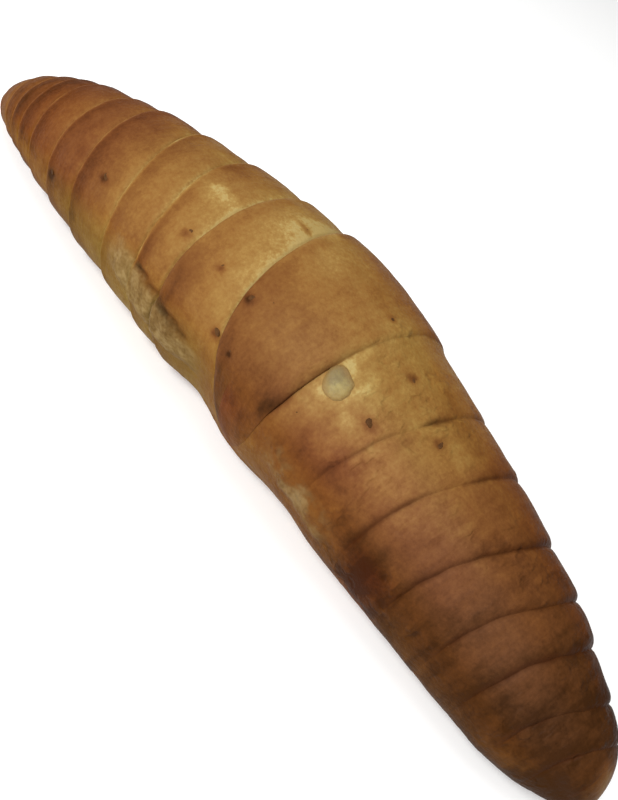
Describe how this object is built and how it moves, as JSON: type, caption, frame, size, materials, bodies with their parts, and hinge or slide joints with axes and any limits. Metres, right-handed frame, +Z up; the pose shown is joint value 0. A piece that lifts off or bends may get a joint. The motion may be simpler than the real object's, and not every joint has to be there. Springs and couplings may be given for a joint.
{
  "type": "rye roll",
  "caption": "Spindle-shaped rye roll, wound from a triangle of dough whose edges run round it as steps.",
  "frame": {"origin": "middle of the flat underside that the roll lies on", "axes": "+X along the roll, +Y towards its back, +Z up; the tip of the tongue of dough is on the front, -Y side"},
  "size_m": [0.1898, 0.0438, 0.0395],
  "materials": {
    "crust": "satin baked crust"
  },
  "bodies": {
    "root": {"roll": "crust"}
  },
  "joints": []
}
